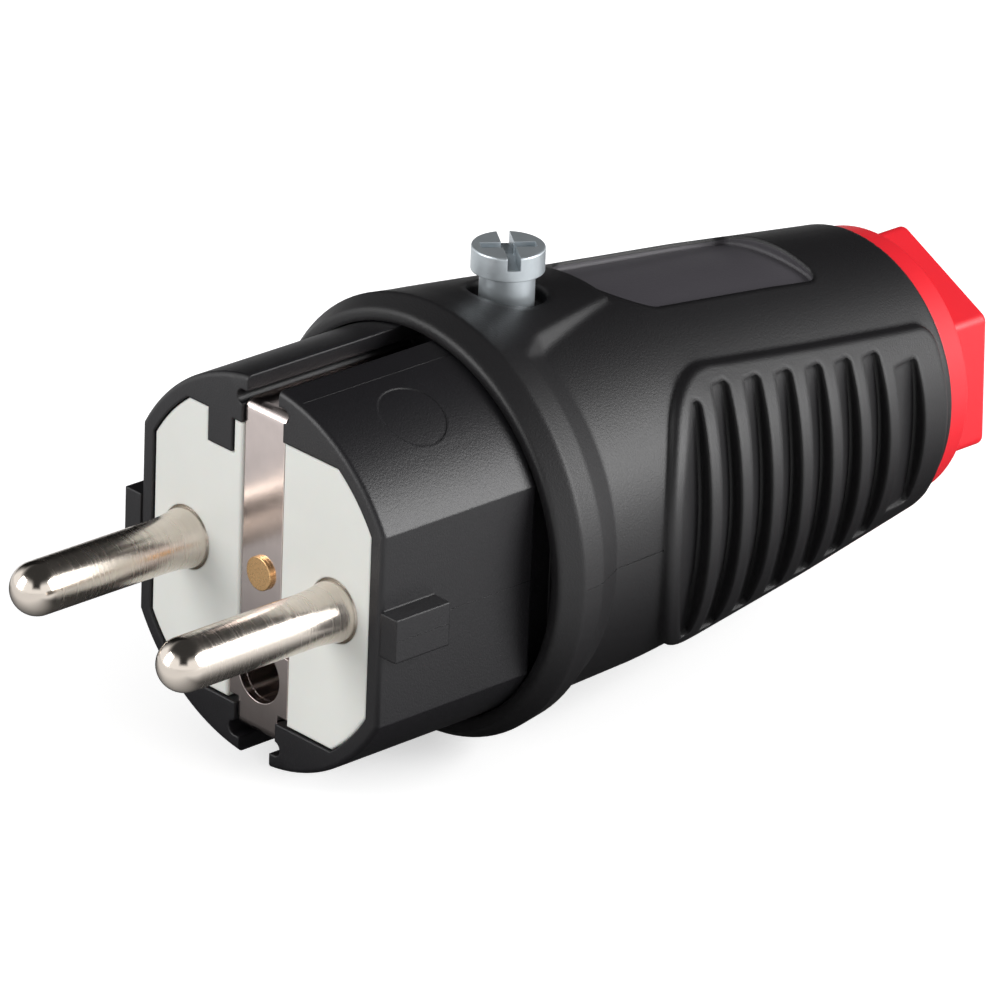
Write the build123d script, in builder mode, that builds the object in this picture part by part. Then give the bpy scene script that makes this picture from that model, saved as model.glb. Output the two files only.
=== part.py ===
"""Rewirable earthed mains plug with two round pins and a screwed cable gland.

X is to the right as seen from the pin side, +Y runs from the pin face back to the cable gland and +Z is up,
through the housing screw. The origin is midway between the pins, in the plane of the nose's front rim.
All sizes are in millimetres.
"""
import os
from math import cos, radians, sin, sqrt, tan

from build123d import *

os.makedirs("parts", exist_ok=True)

# Pins: round, with a flared root at the face and a square terminal block behind the carrier
pin_spacing = 19.0
pin_d = 4.8
pin_length = 19.0
pin_root_d = 5.76
pin_root_length = 0.5
pin_flare_length = 3.2
block_width = 6.6
block_height = 8.0
block_length = 9.0
block_edge = 0.4

# Nose: a cylinder with two flats, a pocket for the face of the carrier and a flange inside the collar
nose_d = 35.6
nose_flats = 30.9
nose_length = 17.5
nose_edge = 0.5
nose_wall = 1.45
face_wall = 1.4
face_pocket_depth = 4.0
ledge_width = 1.0
ledge_height = 0.2
flange_length = 5.1
skirt_step = 1.65
skirt_length = 8.4
rib_height = 2.0
rib_width = 4.0
rib_length = 6.1
key_width = 3.0
key_place = 5.4
key_depth = 3.1
mark_d = 6.3
mark_turn = 60.0
mark_place = 9.05
mark_depth = 0.06

# Earth grooves of the nose and the strip that lies in them
groove_width = 4.0
groove_length = 20.0
groove_lip = 1.4
undercut_reach = 3.3
undercut_height = 1.4
strip_thickness = 0.8
strip_width = 5.0
strip_wide_width = 7.4
strip_wide_above = 2.7
strip_wide_below = 3.0
strip_sink = 0.2
strip_bend = 1.0
strip_limb_length = 18.0
strip_setback = 2.4
strip_side_gap = 0.15
earth_hole_d = 5.3
earth_hole_margin = 3.6

# Carrier: face, block behind it, barriers between the terminals and two latch lugs
face_recess = 0.15
face_edge = 0.3
carrier_gap = 0.1
carrier_length = 10.0
barrier_thickness = 1.2
barrier_height = 18.0
barrier_length = 8.5
barrier_place = 4.8
lug_depth = 0.7
lug_length = 1.4
lug_width = 6.0
lug_setback = 1.2

# Earth parts behind the face
rivet_d = 3.1
rivet_proud = 0.17
rivet_shank_d = 2.4
rivet_tail_d = 3.8
rivet_tail_length = 0.8
sleeve_wall = 0.3
sleeve_slit = 0.9
earth_plate_thickness = 1.5
earth_plate_width = 6.8
earth_pillar_height = 6.6
earth_clamp_room = 1.4
earth_pillar_length = 8.5

# Wire terminals, alike on the two pins and the earth pillar
wire_hole = 3.8
wire_depth = 6.5
clamp_setback = 3.6
clamp_thread_d = 3.5
clamp_head_d = 5.2
clamp_head_length = 1.8
clamp_stand = 1.0
clamp_slot = 0.8
guard_thickness = 0.4

# Grip housing: outline from the collar to the gland
collar_overhang = 0.1
collar_wall = 1.0
collar_rise = 1.1
collar_front_length = 2.0
collar_fall = 0.35
collar_back_length = 2.5
collar_slope_length = 2.9
band_wall = 1.9
band_taper = 0.35
band_length = 11.2
grip_mid_d = 31.8
grip_mid_length = 18.0
grip_back_d = 27.1
grip_back_length = 17.2
grip_blend = 60.0
grip_wall = 2.8
lip_edge = 0.3
soft_edge = 0.4

# Grip pads with saw-tooth scoops
pad_height = 0.8
pad_edge = 0.7
pad_front = 5.7
pad_shoulder = 6.2
pad_front_height = 27.1
pad_back_height = 17.3
pad_back_margin = 1.4
pad_front_corner = 7.0
pad_back_corner = 2.0
pad_rim = 1.5
scoop_count = 8
scoop_start = 5.2
scoop_pitch = 4.2
scoop_width = 2.8
scoop_last_extra = 1.0
scoop_bow = 1.8
scoop_narrowing = 0.6
scoop_front_depth = 0.15
scoop_depth = 1.5
scoop_end_depth = 0.45
scoop_margin = 1.1
scoop_outer_margin = 2.2
scoop_corner = 0.5

# Bare recessed panel on top
panel_width = 12.6
panel_front = 36.0
panel_bow = 4.0
panel_length = 24.6
panel_depth = 1.2
panel_flatness = 8.0
panel_corner = 1.6

# Screw boss, screw and its square nut
screw_place = 10.5
boss_fall = 1.45
boss_flare = 2.1
boss_flare_width = 18.0
boss_waist_width = 12.6
boss_waist = 2.6
boss_foot_blend = 0.54
boss_back_width = 6.6
boss_length = 13.7
boss_draft = 25.0
boss_edge = 0.5
boss_height = 7.0
screw_head_d = 6.5
screw_head_length = 2.2
screw_proud = 4.3
screw_neck_d = 4.9
screw_neck_length = 3.4
screw_thread_d = 3.9
screw_length = 10.6
screw_slot = 1.15
screw_slot_depth = 1.2
screw_turn = -34.0
screw_seat_depth = 2.3
screw_gap = 0.35
tower_d = 10.0
tower_length = 2.6
nut_width = 7.0
nut_thickness = 2.0
nut_floor = 1.5
tongue_width = 10.0
tongue_length = 10.4

# Cable gland
gland_wall = 1.95
thread_gap = 0.3
cable_d = 13.8
bulkhead_thickness = 2.0
seal_length = 8.0
seal_bore_d = 10.4
thrust_thickness = 1.5
spigot_length = 9.2
nut_gap = 0.1
nut_step = 0.35
nut_flange_length = 2.6
nut_flange_taper = 0.45
hex_flats = 21.0
hex_length = 4.8
hex_corner = 1.0
hex_turn = 3.0
nut_edge = 0.5

# Fits between pieces that are pushed together
slide_gap = 0.15
press_gap = 0.05

# Largest X component of the normal of a wall that runs level with X
level_tolerance = 0.01

# Stations along Y, from the rim of the nose back to the gland nut
y_flange = nose_length
y_seat = y_flange + flange_length
y_skirt_end = y_seat + skirt_length
y_collar = y_flange - collar_overhang
y_crest = y_collar + collar_front_length
y_collar_back = y_crest + collar_back_length
y_band = y_collar_back + collar_slope_length
y_taper = y_band + band_length
y_mid = y_taper + grip_mid_length
y_back = y_mid + grip_back_length
y_screw = y_flange + screw_place
y_face = face_recess
y_strip = y_face + strip_sink
y_carrier = y_face + carrier_length
block_back = y_carrier + block_length
clamp_y = block_back - clamp_setback
y_spigot = y_back - spigot_length
y_thrust = y_spigot - thrust_thickness
y_seal = y_thrust - seal_length
y_bulkhead = y_seal - bulkhead_thickness
y_nut = y_back + nut_gap

# Radii that follow from the nose and the gland
nose_r = nose_d / 2
flat_x = nose_flats / 2
pocket_r = nose_r - nose_wall
pocket_x = flat_x - nose_wall
skirt_r = nose_r - skirt_step + slide_gap
cavity_r = skirt_r + slide_gap
collar_bore_r = nose_r + slide_gap
lip_r = collar_bore_r + collar_wall
crest_r = lip_r + collar_rise
collar_back_r = crest_r - collar_fall
band_r = cavity_r + band_wall
taper_r = band_r - band_taper
mid_r = grip_mid_d / 2
back_r = grip_back_d / 2
thread_bore_r = back_r - gland_wall
thread_r = thread_bore_r - thread_gap
pin_x = pin_spacing / 2
strip_top = nose_r - strip_setback
strip_under = strip_top - strip_thickness
face_height = 2 * (strip_under - face_wall)
earth_hole_drop = face_height / 2 - earth_hole_margin
strip_wide_top = earth_hole_drop - strip_wide_above
strip_wide_bottom = earth_hole_drop + strip_wide_below
block_top = block_height / 2
tongue_top = sqrt((cavity_r - skirt_step + slide_gap) ** 2 - (tongue_width / 2) ** 2)

# Outline of the grip behind the collar, as radius and place along Y
grip_outline = [(band_r, y_band), (taper_r, y_taper), (mid_r, y_mid), (back_r, y_back)]


def grip_radius(y):
    """Radius of the grip's outline at a place along Y."""
    for (r0, y0), (r1, y1) in zip(grip_outline, grip_outline[1:]):
        if y <= y1:
            break
    return r0 + (r1 - r0) * (y - y0) / (y1 - y0)


def across(y):
    """Plane across the plug at y: local x is X, local y is Z, and its normal points to the pins."""
    return Plane.XZ.offset(-y)


def nose_outline(radius, half_width):
    """Round outline cut by the two upright flats."""
    Circle(radius)
    Rectangle(2 * half_width, 2 * radius, mode=Mode.INTERSECT)


def face_outline(radius, half_width, height):
    """Round outline cut by flats at the sides and by level chords above and below."""
    Circle(radius)
    Rectangle(2 * half_width, height, mode=Mode.INTERSECT)


# Round ejector mark: a thin disc out of the nose's own surface
mark_plane = Plane(
    origin=(0, mark_place, 0),
    x_dir=(0, 1, 0),
    z_dir=(cos(radians(mark_turn)), 0, sin(radians(mark_turn))),
)
with BuildPart() as ejector_mark:
    with BuildSketch(mark_plane):
        Circle(mark_d / 2)
    extrude(amount=nose_d)
    with BuildSketch(across(0)):
        Circle(nose_r - mark_depth)
    extrude(amount=-y_flange, mode=Mode.SUBTRACT)

# Front shell: nose, flange, skirt and the tongue that holds the square nut
rear_x = pocket_x - ledge_width
rear_height = face_height - 2 * ledge_height
rear_r = pocket_r - skirt_step
undercut_width = strip_width + 2 * strip_side_gap
lip_under = sqrt(nose_r**2 - (groove_width / 2) ** 2) - groove_lip
nut_pocket = nut_width + 2 * slide_gap
nut_base = tongue_top - nut_thickness - press_gap
tongue_bottom = nut_base - nut_floor

with BuildPart() as front_shell:
    with BuildSketch(across(0)):
        nose_outline(nose_r, flat_x)
    extrude(amount=-y_seat)
    fillet(front_shell.faces().sort_by(Axis.Y)[0].edges(), radius=nose_edge)
    add(ejector_mark.part, mode=Mode.SUBTRACT)
    with BuildSketch(across(y_flange)):
        Circle(nose_r)
    extrude(amount=-flange_length)
    with BuildSketch(across(y_seat)):
        Circle(skirt_r)
    extrude(amount=-skirt_length)
    with BuildSketch(across(0)):
        with GridLocations(nose_flats + rib_height, 0, 2, 1):
            Rectangle(rib_height, rib_width)
    extrude(amount=-rib_length)
    with BuildSketch(across(0)):
        face_outline(pocket_r, pocket_x, face_height)
    extrude(amount=-face_pocket_depth, mode=Mode.SUBTRACT)
    with BuildSketch(across(0)):
        face_outline(rear_r, rear_x, rear_height)
    extrude(amount=-y_skirt_end, mode=Mode.SUBTRACT)
    with BuildSketch(Plane.XY.offset(block_top)):
        with Locations((-pin_x, clamp_y), (pin_x, clamp_y)):
            Circle(clamp_head_d / 2 + slide_gap)
    extrude(amount=clamp_stand + clamp_head_length + slide_gap, mode=Mode.SUBTRACT)
    with BuildSketch(across(0)):
        with Locations((-key_place, (face_height - key_depth) / 2)):
            Rectangle(key_width, key_depth)
    extrude(amount=-face_pocket_depth)
    with BuildSketch(across(0)):
        Rectangle(groove_width, nose_d)
        Rectangle(undercut_width, 2 * lip_under)
        Rectangle(undercut_width, 2 * strip_under, mode=Mode.SUBTRACT)
        with GridLocations(0, 2 * lip_under - undercut_height, 1, 2):
            SlotOverall(2 * undercut_reach, undercut_height)
    extrude(amount=-groove_length, mode=Mode.SUBTRACT)
    with BuildSketch(across(0)):
        Rectangle(undercut_width, 2 * strip_top)
    extrude(amount=-(y_strip + strip_thickness + slide_gap), mode=Mode.SUBTRACT)
    with BuildSketch(Plane.YZ):
        with Locations((y_face + carrier_length - lug_setback - lug_length / 2, 0)):
            Rectangle(lug_length + 2 * slide_gap, lug_width + 2 * slide_gap)
    extrude(amount=rear_x + lug_depth, both=True, mode=Mode.SUBTRACT)
    with BuildSketch(Plane.XY.offset(tongue_top)):
        with Locations((0, y_seat + tongue_length / 2)):
            Rectangle(tower_d + 4 * slide_gap, tongue_length)
    extrude(amount=nose_r, mode=Mode.SUBTRACT)
    with BuildSketch(Plane.XY.offset(tongue_top)):
        with Locations((0, (groove_length + y_seat + tongue_length) / 2)):
            Rectangle(tongue_width, y_seat + tongue_length - groove_length)
    extrude(amount=tongue_bottom - tongue_top)
    with BuildSketch(Plane.XY.offset(tongue_top)):
        with Locations((0, y_screw)):
            Rectangle(nut_pocket, nut_pocket)
    extrude(amount=nut_base - tongue_top, mode=Mode.SUBTRACT)
    with Locations((0, y_screw, tongue_top)):
        Hole(radius=screw_thread_d / 2 + slide_gap, depth=tongue_top - tongue_bottom)

# Contact carrier: face plate with the strip's channel, block, barriers and lugs
face_r = pocket_r - carrier_gap
face_x = pocket_x - carrier_gap
face_h = face_height - 2 * carrier_gap
channel_depth = strip_sink + strip_thickness
channel_width = strip_width + 2 * strip_side_gap
channel_wide_width = strip_wide_width + 2 * strip_side_gap

with BuildPart() as contact_carrier:
    with BuildSketch(across(y_face)):
        face_outline(face_r, face_x, face_h)
        with Locations((-key_place, (face_height - key_depth) / 2)):
            Rectangle(key_width + 2 * carrier_gap, key_depth + 2 * carrier_gap, mode=Mode.SUBTRACT)
    extrude(amount=-(face_pocket_depth - y_face))
    with BuildSketch(across(y_face)):
        face_outline(rear_r - carrier_gap, rear_x - carrier_gap, rear_height - 2 * carrier_gap)
        with Locations((-key_place, (face_height - key_depth) / 2)):
            Rectangle(key_width + 2 * carrier_gap, key_depth + 2 * carrier_gap, mode=Mode.SUBTRACT)
    extrude(amount=-carrier_length)
    with BuildSketch(across(y_face)):
        Rectangle(channel_width, face_height)
        with Locations((0, -(strip_wide_top + face_height / 2) / 2 + strip_side_gap)):
            Rectangle(channel_wide_width, face_height / 2 - strip_wide_top + 2 * strip_side_gap)
    extrude(amount=-channel_depth, mode=Mode.SUBTRACT)
    fillet(contact_carrier.faces().filter_by(Axis.Y).group_by(Axis.Y)[0].edges(), radius=face_edge)
    with BuildSketch(across(y_carrier)):
        with GridLocations(2 * barrier_place, 0, 2, 1):
            Rectangle(barrier_thickness, barrier_height)
    extrude(amount=-barrier_length)
    with BuildSketch(Plane.YZ):
        with Locations((y_carrier - lug_setback - lug_length / 2, 0)):
            Rectangle(lug_length, lug_width)
    extrude(amount=rear_x - carrier_gap + lug_depth, both=True)
    with BuildSketch(across(0)):
        with GridLocations(pin_spacing, 0, 2, 1):
            Circle(pin_root_d / 2 + press_gap)
        Circle(rivet_shank_d / 2 + press_gap)
        with Locations((0, -earth_hole_drop)):
            Circle(earth_hole_d / 2 + sleeve_wall + press_gap)
    extrude(amount=-y_carrier, mode=Mode.SUBTRACT)

# Pins with their terminal blocks, one each side
y_root = y_face - pin_root_length
wire_z = block_top - wire_hole / 2 - 2 * guard_thickness - clamp_stand


def terminal_pin(x):
    """Round pin along -Y on a block that takes the wire from behind and the screw from above."""
    with BuildPart() as pin:
        with BuildSketch(Plane.XY.shift_origin((x, 0))):
            with BuildLine():
                Polyline((0, y_carrier), (pin_root_d / 2, y_carrier), (pin_root_d / 2, y_root))
                TangentArc((pin_d / 2, y_root - pin_flare_length), (pin_root_d / 2, y_root), tangent=(0, 1))
                Line((pin_d / 2, y_root - pin_flare_length), (pin_d / 2, pin_d / 2 - pin_length))
                RadiusArc((pin_d / 2, pin_d / 2 - pin_length), (0, -pin_length), pin_d / 2)
                Line((0, -pin_length), (0, y_carrier))
            make_face()
        revolve(axis=Axis((x, 0, 0), (0, 1, 0)))
        with BuildSketch(across(y_carrier)):
            with Locations((x, 0)):
                Rectangle(block_width, block_height)
        extrude(amount=-block_length)
        chamfer(pin.faces().sort_by(Axis.Y)[-1].edges(), length=block_edge)
        with BuildSketch(across(block_back)):
            with Locations((x, wire_z)):
                Rectangle(wire_hole, wire_hole)
        extrude(amount=wire_depth, mode=Mode.SUBTRACT)
        with Locations((x, clamp_y, block_top)):
            Hole(radius=clamp_thread_d / 2 + press_gap, depth=block_top - wire_z)
    return pin


pin_left = terminal_pin(-pin_x)
pin_right = terminal_pin(pin_x)

# Earth strip: across the face and back along both grooves
with BuildPart() as earth_strip:
    with BuildSketch(Plane.YZ) as strip_outline:
        with Locations((y_strip + strip_limb_length / 2, 0)):
            Rectangle(strip_limb_length, 2 * strip_top)
        fillet(strip_outline.vertices().group_by(Axis.X)[0], radius=strip_bend)
        with Locations((y_strip + strip_thickness + strip_limb_length / 2, 0)):
            Rectangle(strip_limb_length, 2 * strip_under, mode=Mode.SUBTRACT)
    extrude(amount=strip_width / 2, both=True)
    with BuildSketch(across(y_strip)):
        with Locations((0, -(strip_wide_top + strip_wide_bottom) / 2)):
            Rectangle(strip_wide_width, strip_wide_bottom - strip_wide_top)
    extrude(amount=-strip_thickness)
    with BuildSketch(across(y_strip)):
        Circle(rivet_shank_d / 2 + press_gap)
        with Locations((0, -earth_hole_drop)):
            Circle(earth_hole_d / 2)
    extrude(amount=-strip_thickness, mode=Mode.SUBTRACT)

# Sprung sleeve behind the strip's hole, slit along its upper side
y_sleeve = y_strip + strip_thickness
with BuildPart() as earth_socket:
    with BuildSketch(across(y_sleeve)):
        with Locations((0, -earth_hole_drop)):
            Circle(earth_hole_d / 2 + sleeve_wall)
            Circle(earth_hole_d / 2, mode=Mode.SUBTRACT)
        with Locations((0, -earth_hole_drop + earth_hole_d / 2)):
            Rectangle(sleeve_slit, earth_hole_d / 2, mode=Mode.SUBTRACT)
    extrude(amount=-(y_carrier - y_sleeve))

# Earth terminal: plate behind the carrier with a pillar for the wire
pillar_top = rear_height / 2 - earth_clamp_room - clamp_head_length - clamp_stand
pillar_back = y_carrier + earth_pillar_length
plate_bottom = earth_hole_drop + earth_hole_d / 2 - sleeve_wall
earth_wire_z = pillar_top - wire_hole / 2 - 2 * guard_thickness - clamp_stand
earth_clamp_y = pillar_back - clamp_setback

with BuildPart() as earth_terminal:
    with BuildSketch(across(y_carrier)):
        with Locations((0, (pillar_top - plate_bottom) / 2)):
            Rectangle(earth_plate_width, pillar_top + plate_bottom)
        Circle(rivet_shank_d / 2 + press_gap, mode=Mode.SUBTRACT)
        with Locations((0, -earth_hole_drop)):
            Circle(earth_hole_d / 2, mode=Mode.SUBTRACT)
    extrude(amount=-earth_plate_thickness)
    with BuildSketch(across(y_carrier)):
        with Locations((0, pillar_top - earth_pillar_height / 2)):
            Rectangle(earth_plate_width, earth_pillar_height)
    extrude(amount=-earth_pillar_length)
    with BuildSketch(across(pillar_back)):
        with Locations((0, earth_wire_z)):
            Rectangle(wire_hole, wire_hole)
    extrude(amount=wire_depth, mode=Mode.SUBTRACT)
    with Locations((0, earth_clamp_y, pillar_top)):
        Hole(radius=clamp_thread_d / 2 + press_gap, depth=pillar_top - earth_wire_z)

# Rivet through strip, carrier and earth terminal
y_tail = y_carrier + earth_plate_thickness
with BuildPart() as earth_rivet:
    with BuildSketch():
        with BuildLine():
            Polyline(
                (0, y_face - rivet_proud),
                (rivet_d / 2, y_face - rivet_proud),
                (rivet_d / 2, y_strip),
                (rivet_shank_d / 2, y_strip),
                (rivet_shank_d / 2, y_tail),
                (rivet_tail_d / 2, y_tail),
                (rivet_shank_d / 2, y_tail + rivet_tail_length),
                (0, y_tail + rivet_tail_length),
                close=True,
            )
        make_face()
    revolve(axis=Axis.Y)
    fillet(earth_rivet.edges().filter_by(GeomType.CIRCLE).sort_by(Axis.Y)[0], radius=rivet_proud / 2)


def clamp_screw(x, y, top, wire_top):
    """Slotted clamping screw standing in the top of a terminal, its tip on the wire guard."""
    head_base = top + clamp_stand
    with BuildPart() as screw:
        with BuildSketch(Plane.XY.offset(wire_top - guard_thickness)):
            with Locations((x, y)):
                Circle(clamp_thread_d / 2)
        extrude(amount=head_base - wire_top + guard_thickness)
        with BuildSketch(Plane.XY.offset(head_base)):
            with Locations((x, y)):
                Circle(clamp_head_d / 2)
        extrude(amount=clamp_head_length)
        with BuildSketch(Plane.XY.offset(head_base + clamp_head_length)):
            with Locations((x, y)):
                Rectangle(clamp_head_d, clamp_slot)
        extrude(amount=-clamp_head_length / 2, mode=Mode.SUBTRACT)
    return screw


def wire_guard(x, back, wire_top):
    """Thin leaf along the roof of a wire hole, under the tip of the clamping screw."""
    with BuildPart() as guard:
        with BuildSketch(Plane.XY.offset(wire_top - 2 * guard_thickness)):
            with Locations((x, back - wire_depth / 2)):
                Rectangle(wire_hole - 2 * press_gap, wire_depth - 2 * press_gap)
        extrude(amount=guard_thickness)
    return guard


wire_top = wire_z + wire_hole / 2
earth_wire_top = earth_wire_z + wire_hole / 2
terminal_screw_left = clamp_screw(-pin_x, clamp_y, block_top, wire_top)
terminal_screw_right = clamp_screw(pin_x, clamp_y, block_top, wire_top)
terminal_screw_earth = clamp_screw(0, earth_clamp_y, pillar_top, earth_wire_top)
wire_guard_left = wire_guard(-pin_x, block_back, wire_top)
wire_guard_right = wire_guard(pin_x, block_back, wire_top)
wire_guard_earth = wire_guard(0, pillar_back, earth_wire_top)

# Scoops of the grip pads: each deepens towards a steep wall behind, with low walls at its ends
pad_front_y = y_band + pad_front
pad_top_y = pad_front_y + pad_shoulder
pad_back_y = y_back - pad_back_margin
pad_front_r = ((pad_front_height / 2) ** 2 + pad_shoulder**2) / (2 * pad_shoulder)
pad_centre_y = pad_front_y + pad_front_r


def pad_half_height(y):
    """Half height of the pad's outline at a place along Y: a round front, then straight edges that close in."""
    if y < pad_top_y:
        return sqrt(pad_front_r**2 - (pad_centre_y - y) ** 2)
    share = (y - pad_top_y) / (pad_back_y - pad_top_y)
    return (pad_front_height + (pad_back_height - pad_front_height) * share) / 2


def floor_segment(y, depth, end_depth, reach):
    """Segment between a scoop's floor and open air, in the plane across the plug at y."""
    radius = grip_radius(y) + pad_height
    end_x = sqrt((radius - end_depth) ** 2 - reach**2)
    outside = radius + pad_height
    with BuildSketch(across(y)) as segment:
        with BuildLine():
            ThreePointArc((end_x, -reach), (radius - depth, 0), (end_x, reach))
            Polyline((end_x, reach), (outside, reach), (outside, -reach), (end_x, -reach))
        make_face()
    return segment.sketch.face()


def scoop(number):
    """Cutter of one scoop, bowed to the front: the first follows the pad's rim, the last is wider and straight."""
    last = scoop_count - 1
    bow = scoop_bow * (1 - (number / last) ** 2)
    extra = scoop_last_extra if number == last else 0.0
    margin = scoop_outer_margin if number in (0, last) else scoop_margin
    back_y = pad_front_y + scoop_start + number * scoop_pitch + extra
    back_end_y = back_y + bow
    reach = pad_half_height(back_end_y) - margin
    front_y = back_y - scoop_width - extra
    front_end_y = front_y + bow + scoop_narrowing
    if number == 0:
        front_y = pad_front_y + pad_rim
        front_end_y = pad_centre_y - sqrt((pad_front_r - pad_rim) ** 2 - reach**2)
    full_depth = scoop_depth * (back_end_y - front_y) / (back_y - front_y)
    with BuildPart() as cutter:
        front_face = floor_segment(front_y, scoop_front_depth, scoop_front_depth, reach)
        back_face = floor_segment(back_end_y, full_depth, scoop_end_depth, reach)
        loft([front_face, back_face], ruled=True)
        with BuildSketch(Plane.YZ) as outline:
            with BuildLine():
                ThreePointArc((front_end_y, -reach), (front_y, 0), (front_end_y, reach))
                Line((front_end_y, reach), (back_end_y, reach))
                if bow > 0:
                    ThreePointArc((back_end_y, reach), (back_y, 0), (back_end_y, -reach))
                else:
                    Line((back_end_y, reach), (back_end_y, -reach))
                Line((back_end_y, -reach), (front_end_y, -reach))
            make_face()
            fillet(outline.vertices().sort_by(Axis.X)[-2:], radius=scoop_corner)
        extrude(amount=2 * lip_r, mode=Mode.INTERSECT)
    return cutter.part


with BuildPart() as scoops:
    for number in range(scoop_count):
        add(scoop(number))
    mirror(about=Plane.YZ)


def grip_solid(rise, drop=0.0):
    """Solid of revolution of the grip's outline raised by rise, flatter about an axis that lies lower by drop."""
    reach = rise + drop
    with BuildPart() as solid:
        with BuildSketch(Plane.XY.offset(-drop)):
            with BuildLine():
                FilletPolyline(*[(r + reach, y) for r, y in grip_outline], radius=grip_blend)
                Polyline((back_r + reach, y_back), (0, y_back), (0, y_band), (band_r + reach, y_band))
            make_face()
        revolve(axis=Axis((0, 0, -drop), (0, 1, 0)))
    return solid.part


# Raised pads: the outline seen from the side, on the grip's own form
with BuildPart() as pads:
    add(grip_solid(pad_height))
    with BuildSketch(Plane.YZ) as pad_outline:
        with BuildLine():
            ThreePointArc(
                (pad_top_y, -pad_front_height / 2),
                (pad_front_y, 0),
                (pad_top_y, pad_front_height / 2),
            )
            Polyline(
                (pad_top_y, pad_front_height / 2),
                (pad_back_y, pad_back_height / 2),
                (pad_back_y, -pad_back_height / 2),
                (pad_top_y, -pad_front_height / 2),
            )
        make_face()
        fillet(pad_outline.vertices().group_by(Axis.X)[-1], radius=pad_back_corner)
        fillet(pad_outline.vertices().sort_by(Axis.Y)[0], radius=pad_front_corner)
        fillet(pad_outline.vertices().sort_by(Axis.Y)[-1], radius=pad_front_corner)
    extrude(amount=2 * lip_r, both=True, mode=Mode.INTERSECT)
    pad_walls = pads.faces().filter_by(lambda face: abs(face.normal_at().X) < level_tolerance)
    fillet(pad_walls.edges().filter_by(GeomType.LINE, reverse=True), radius=pad_edge)

# Cutter of the bare panel: its plan outline, down to a floor flatter than the grip
with BuildPart() as panel:
    with BuildSketch(Plane.XY) as panel_outline:
        with BuildLine():
            ThreePointArc(
                (-panel_width / 2, panel_front + panel_bow),
                (0, panel_front),
                (panel_width / 2, panel_front + panel_bow),
            )
            Polyline(
                (panel_width / 2, panel_front + panel_bow),
                (panel_width / 2, panel_front + panel_length),
                (-panel_width / 2, panel_front + panel_length),
                (-panel_width / 2, panel_front + panel_bow),
            )
        make_face()
        fillet(panel_outline.vertices(), radius=panel_corner)
    extrude(amount=2 * lip_r)
    add(grip_solid(-panel_depth, panel_flatness), mode=Mode.SUBTRACT)

# Screw boss: the collar's back drawn out over the grip, round on top, its flanks flared into the collar
y_boss_end = y_collar_back + boss_length
boss_end_r = collar_back_r - boss_fall
boss_top = collar_back_r - boss_fall * (y_screw - y_collar_back) / boss_length
boss_blend = boss_foot_blend + boss_height * tan(radians(boss_draft))

with BuildPart() as boss:
    with BuildSketch(Plane.XY.offset(crest_r)) as boss_outline:
        with BuildLine():
            Polyline(
                (-boss_flare_width / 2, y_crest),
                (boss_flare_width / 2, y_crest),
                (boss_flare_width / 2, y_collar_back - boss_flare),
                (boss_waist_width / 2, y_collar_back + boss_waist),
                (boss_back_width / 2, y_boss_end),
                (-boss_back_width / 2, y_boss_end),
                (-boss_waist_width / 2, y_collar_back + boss_waist),
                (-boss_flare_width / 2, y_collar_back - boss_flare),
                close=True,
            )
        make_face()
        waist = boss_outline.vertices().sort_by_distance((boss_waist_width / 2, y_collar_back + boss_waist))[0]
        fillet(waist, radius=boss_blend)
        waist = boss_outline.vertices().sort_by_distance((-boss_waist_width / 2, y_collar_back + boss_waist))[0]
        fillet(waist, radius=boss_blend)
    extrude(amount=-boss_height, taper=-boss_draft)
    with BuildSketch():
        with BuildLine():
            Polyline(
                (0, y_crest),
                (collar_back_r, y_crest),
                (collar_back_r, y_collar_back),
                (boss_end_r, y_boss_end),
                (boss_end_r, y_taper),
                (0, y_taper),
                close=True,
            )
        make_face()
    revolve(axis=Axis.Y, mode=Mode.INTERSECT)
    boss_crown = boss.faces().sort_by(Axis.Z)[-1]
    fillet(boss_crown.edges().sort_by(Axis.Y)[1:], radius=boss_edge)

# Grip housing: collar, boss, pads and panel outside, seats for the nose and the gland inside
seat_z = boss_top - screw_seat_depth
tower_base = tongue_top + slide_gap
inner_step_r = cavity_r - skirt_step + 2 * slide_gap
y_inner_step = y_skirt_end + 2 * slide_gap

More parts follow.
